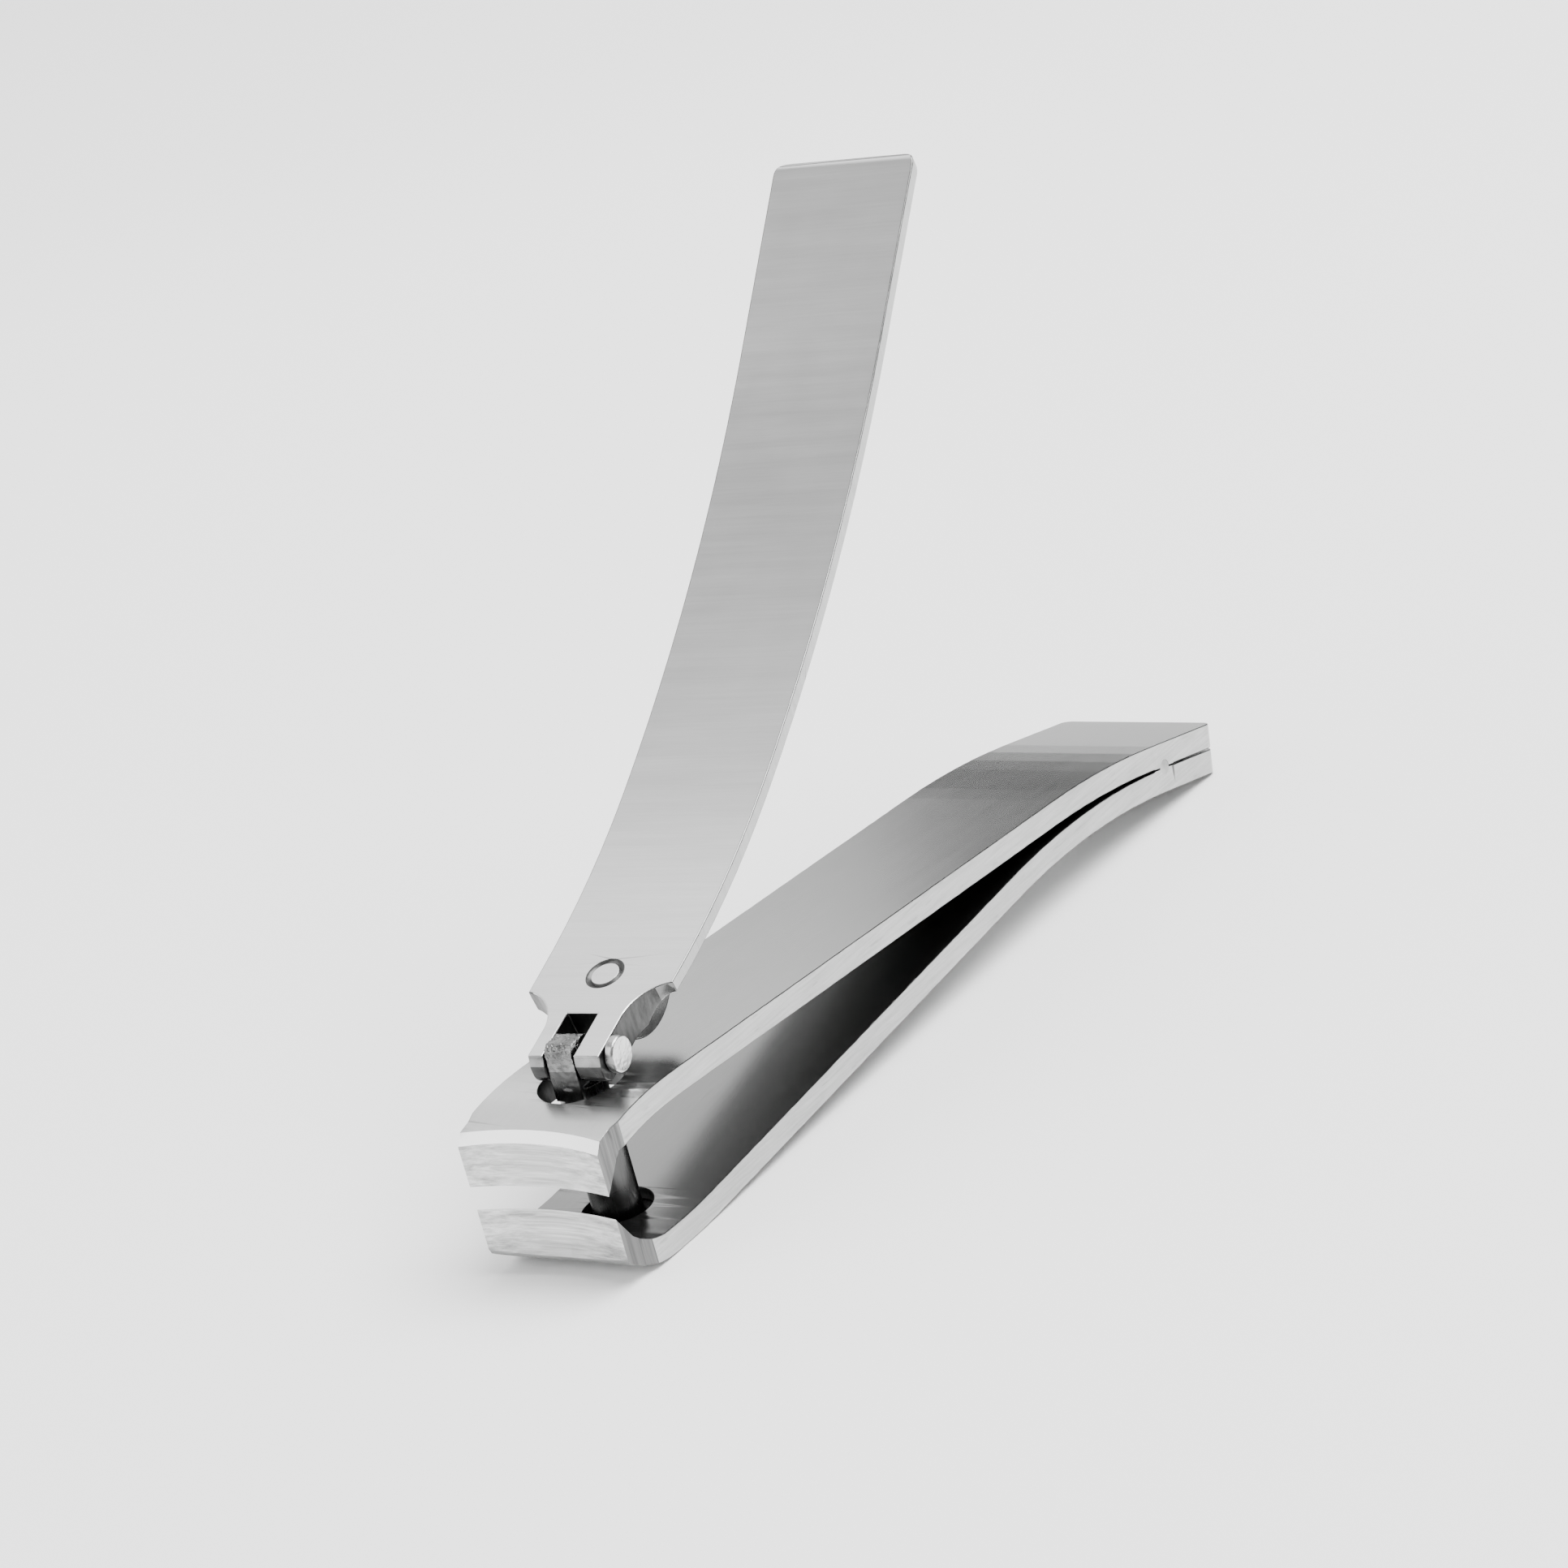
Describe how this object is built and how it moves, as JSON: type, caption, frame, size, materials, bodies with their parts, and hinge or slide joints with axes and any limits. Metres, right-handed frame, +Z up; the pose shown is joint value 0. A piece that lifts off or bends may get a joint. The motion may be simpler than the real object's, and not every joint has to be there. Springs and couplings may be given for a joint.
{
  "type": "nail clipper",
  "caption": "Compound-lever nail clipper: two spring arms joined at the tail, curved cutting jaws, a post and cross pin, and a bowed lever standing raised.",
  "frame": {"origin": "in the middle of the clipper's overall box, on the surface it stands on; the post's axis is 33.57 mm towards the jaws and 2.05 mm to the right of it", "axes": "+X towards the handle end of the arms, +Y to the left, +Z up out of the surface; z = 0 is the resting surface"},
  "size_m": [0.0818, 0.0178, 0.0556],
  "materials": {
    "arm_steel": "satin, brushed along its length",
    "weld_metal": "ground flush",
    "post_steel": "satin, hammered on the tab's crown",
    "pin_steel": "peened ends",
    "lever_steel": "fine satin, brushed across its width",
    "shoe_steel": "smooth"
  },
  "bodies": {
    "base": {"lower_arm": "arm_steel", "rear_weld": "weld_metal"},
    "upper": {"upper_arm": "arm_steel"},
    "post": {"post": "post_steel"},
    "pin": {"cross_pin": "pin_steel"},
    "lever": {"lever": "lever_steel", "cam_shoe": "shoe_steel", "cam_rivet": "pin_steel"}
  },
  "joints": [
    {"name": "jaw_close", "type": "hinge", "parent": "base", "child": "upper", "pos_m": [0.03333, -0.00205, 0.00356], "axis": [0, -1, 0], "range_deg": [0, 1.35], "stiffness_Nm_per_rad": 0.02, "springref_deg": -14.32},
    {"name": "post_swivel", "type": "hinge", "parent": "base", "child": "post", "pos_m": [-0.03357, -0.00205, 0.0005], "axis": [0, 0, 1], "continuous": true},
    {"name": "lever_press", "type": "hinge", "parent": "post", "child": "pin", "pos_m": [-0.03357, -0.00205, 0.01385], "axis": [-0.0785, 0.9969, 0], "range_deg": [0, 21.6], "stiffness_Nm_per_rad": 0.2, "springref_deg": -0.57},
    {"name": "lever_flip", "type": "hinge", "parent": "pin", "child": "lever", "pos_m": [-0.03357, -0.00205, 0.01385], "axis": [-0.0785, 0.9969, 0], "range_deg": [-150, 0]}
  ],
  "couplings": [
    {"joint": "jaw_close", "follows": "lever_press", "ratio": 0.0624}
  ]
}
